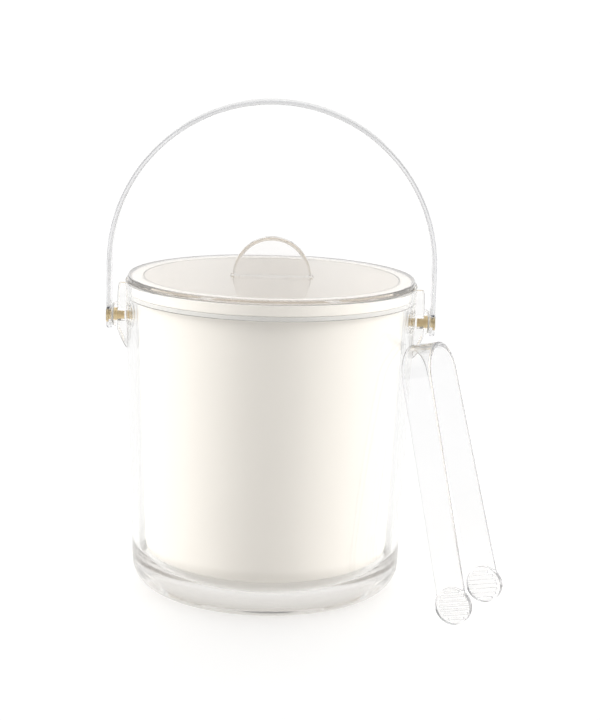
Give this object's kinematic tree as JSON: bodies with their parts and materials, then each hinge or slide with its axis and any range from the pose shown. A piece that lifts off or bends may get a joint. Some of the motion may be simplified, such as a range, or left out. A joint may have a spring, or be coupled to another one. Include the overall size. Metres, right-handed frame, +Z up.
{
  "type": "ice bucket",
  "caption": "Clear double-walled ice bucket with an ivory liner, lift-off lid, swinging bail handle and a pair of ribbed-grip tongs standing beside it.",
  "frame": {"origin": "centre of the bucket's underside, on the table", "axes": "+Z up along the bucket's axis, +X through the right-hand pivot, -Y to the front"},
  "size_m": [0.2251, 0.1628, 0.2744],
  "materials": {
    "shell_acrylic": "polished clear acrylic",
    "lid_acrylic": "polished clear acrylic",
    "handle_acrylic": "polished clear acrylic",
    "tongs_acrylic": "polished clear acrylic",
    "liner_ivory": "satin ivory moulded plastic",
    "seal_silicone": "milky silicone",
    "washer_nylon": "natural nylon",
    "brass": "turned, lightly polished"
  },
  "bodies": {
    "bucket": {"outer_shell": "shell_acrylic", "ear_left": "shell_acrylic", "ear_right": "shell_acrylic", "inner_liner": "liner_ivory", "rim_seal": "seal_silicone", "pivot_screws": "brass", "handle_washers": "washer_nylon", "ear_inserts": "brass"},
    "lid": {"lid_disc": "lid_acrylic", "lid_plug": "lid_acrylic", "knob": "lid_acrylic"},
    "handle": {"handle": "handle_acrylic"},
    "tongs": {"tongs_front_arm": "tongs_acrylic"},
    "tongs_rear": {"tongs_rear_arm": "tongs_acrylic"}
  },
  "joints": [
    {"name": "handle_swing", "type": "hinge", "parent": "bucket", "child": "handle", "pos_m": [0, 0, 0.153], "axis": [1, 0, 0], "range_deg": [-135, 80]},
    {"name": "lid_lift", "type": "slide", "parent": "bucket", "child": "lid", "axis": [0, 0, 1], "range_m": [0, 0.04]},
    {"name": "tongs_pull", "type": "slide", "parent": "bucket", "child": "tongs", "axis": [1, 0, 0], "range_m": [0, 0.12]},
    {"name": "tongs_squeeze", "type": "hinge", "parent": "tongs", "child": "tongs_rear", "pos_m": [0.08452, -0.0339, 0.14458], "axis": [-0.8664, 0.4414, -0.2334], "range_deg": [0, 14], "stiffness_Nm_per_rad": 0.8}
  ]
}
